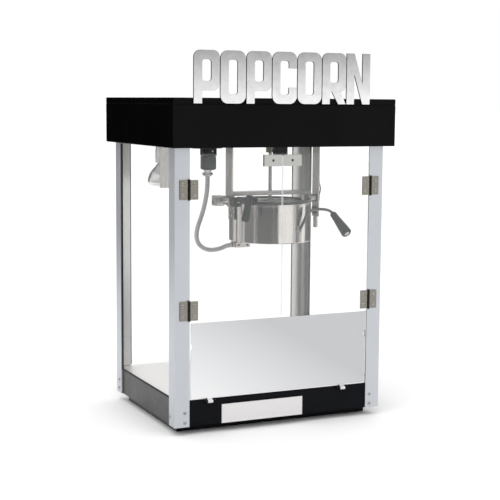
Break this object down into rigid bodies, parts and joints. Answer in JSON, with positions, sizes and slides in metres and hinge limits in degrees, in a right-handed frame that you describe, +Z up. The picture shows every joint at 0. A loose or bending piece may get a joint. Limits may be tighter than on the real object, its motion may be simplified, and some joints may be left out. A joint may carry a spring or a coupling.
{
  "type": "tabletop popcorn machine",
  "caption": "Tabletop popcorn machine with clear panels, hinged doors, a drop-down front panel, a scrap drawer and a tilting stirred kettle hung under a black canopy.",
  "frame": {"origin": "on the table, under the middle of the machine", "axes": "+X to the right seen from the front, +Y to the back, +Z up"},
  "size_m": [0.444, 0.371, 0.686],
  "materials": {
    "black_paint": "satin black powder coat",
    "deck_steel": "brushed stainless sheet",
    "post_aluminium": "satin anodised",
    "foot_rubber": "matte",
    "clear_panel": "clear polished",
    "hinge_nickel": "satin nickel plate",
    "black_plastic": "moulded matte",
    "satin_stainless": "satin brushed",
    "sign_steel": "polished brushed stainless",
    "lamp_glass": "frosted face, mirrored back",
    "motor_grey": "grey enamel",
    "plug_grey": "moulded matte",
    "conduit_steel": "galvanised corrugated",
    "kettle_stainless": "polished with a fine vertical grain"
  },
  "bodies": {
    "cabinet": {"base_pan": "black_paint", "deck_plate": "deck_steel", "front_left_post": "post_aluminium", "front_right_post": "post_aluminium", "rear_right_post": "post_aluminium", "rear_left_post": "post_aluminium", "front_left_foot": "foot_rubber", "front_right_foot": "foot_rubber", "rear_left_foot": "foot_rubber", "rear_right_foot": "foot_rubber", "canopy_shell": "black_paint", "ceiling_plate": "deck_steel", "left_side_glass": "clear_panel", "right_side_glass": "clear_panel", "rear_glass": "clear_panel", "magnetic_catch": "black_plastic", "sign_letters": "sign_steel", "power_receptacle": "black_plastic", "power_inlet": "black_plastic", "lamp_socket": "black_plastic", "lamp_bulb": "lamp_glass", "lamp_shield": "kettle_stainless", "gear_motor": "motor_grey", "left_hanger": "kettle_stainless", "right_hanger": "kettle_stainless", "kettle_cord": "conduit_steel", "cord_plug": "plug_grey", "left_upper_post_leaf": "hinge_nickel", "left_upper_hinge_pin": "hinge_nickel", "left_lower_post_leaf": "hinge_nickel", "left_lower_hinge_pin": "hinge_nickel", "right_upper_post_leaf": "hinge_nickel", "right_upper_hinge_pin": "hinge_nickel", "right_lower_post_leaf": "hinge_nickel", "right_lower_hinge_pin": "hinge_nickel"},
    "left_door": {"left_door_glass": "clear_panel", "left_strike_plate": "hinge_nickel", "left_upper_door_leaf": "hinge_nickel", "left_lower_door_leaf": "hinge_nickel"},
    "right_door": {"right_door_glass": "clear_panel", "right_strike_plate": "hinge_nickel", "right_upper_door_leaf": "hinge_nickel", "right_lower_door_leaf": "hinge_nickel"},
    "front_panel": {"drop_panel": "satin_stainless"},
    "scrap_drawer": {"drawer_tray": "satin_stainless"},
    "kettle": {"kettle_drum": "kettle_stainless", "kettle_yoke": "kettle_stainless", "left_trunnion": "kettle_stainless", "right_trunnion": "kettle_stainless", "handle_rod": "kettle_stainless", "handle_grip": "black_plastic", "terminal_cover": "kettle_stainless"},
    "front_lid_half": {"front_lid": "kettle_stainless", "lid_handle": "black_plastic"},
    "rear_lid_half": {"rear_lid": "kettle_stainless"},
    "stirring_paddle": {"stirrer": "kettle_stainless"},
    "drive_shaft": {"drive_coupling": "kettle_stainless"},
    "rocker_1": {"rocker_switch_1": "black_plastic"},
    "rocker_2": {"rocker_switch_2": "black_plastic"},
    "rocker_3": {"rocker_switch_3": "black_plastic"}
  },
  "joints": [
    {"name": "left_door_hinge", "type": "hinge", "parent": "cabinet", "child": "left_door", "pos_m": [-0.1834, -0.1625, 0.335], "axis": [0, 0, -1], "range_deg": [0, 110]},
    {"name": "right_door_hinge", "type": "hinge", "parent": "cabinet", "child": "right_door", "pos_m": [0.1834, -0.1625, 0.335], "axis": [0, 0, 1], "range_deg": [0, 110]},
    {"name": "front_panel_drop", "type": "hinge", "parent": "cabinet", "child": "front_panel", "pos_m": [0, -0.1615, 0.06], "axis": [1, 0, 0], "range_deg": [0, 90]},
    {"name": "drawer_slide", "type": "slide", "parent": "cabinet", "child": "scrap_drawer", "axis": [0, -1, 0], "range_m": [0, 0.12]},
    {"name": "kettle_tilt", "type": "hinge", "parent": "cabinet", "child": "kettle", "pos_m": [0.052, 0, 0.409], "axis": [1, 0, 0], "range_deg": [0, 100], "deforming": ["kettle_cord"]},
    {"name": "front_lid_hinge", "type": "hinge", "parent": "kettle", "child": "front_lid_half", "pos_m": [0.052, -0.0142, 0.406], "axis": [-1, 0, 0], "range_deg": [0, 60]},
    {"name": "rear_lid_hinge", "type": "hinge", "parent": "kettle", "child": "rear_lid_half", "pos_m": [0.052, 0.0142, 0.406], "axis": [1, 0, 0], "range_deg": [0, 75]},
    {"name": "drive_spin", "type": "hinge", "parent": "cabinet", "child": "drive_shaft", "pos_m": [0.052, 0, 0.51], "axis": [0, 0, 1], "continuous": true},
    {"name": "stirrer_spin", "type": "hinge", "parent": "kettle", "child": "stirring_paddle", "pos_m": [0.052, 0, 0.42], "axis": [0, 0, 1], "continuous": true},
    {"name": "rocker_1_press", "type": "hinge", "parent": "cabinet", "child": "rocker_1", "pos_m": [-0.16, 0.1775, 0.56], "axis": [1, 0, 0], "range_deg": [0, 20]},
    {"name": "rocker_2_press", "type": "hinge", "parent": "cabinet", "child": "rocker_2", "pos_m": [-0.12, 0.1775, 0.56], "axis": [1, 0, 0], "range_deg": [0, 20]},
    {"name": "rocker_3_press", "type": "hinge", "parent": "cabinet", "child": "rocker_3", "pos_m": [-0.08, 0.1775, 0.56], "axis": [1, 0, 0], "range_deg": [0, 20]}
  ],
  "couplings": [
    {"joint": "stirrer_spin", "follows": "drive_spin", "ratio": 1}
  ]
}
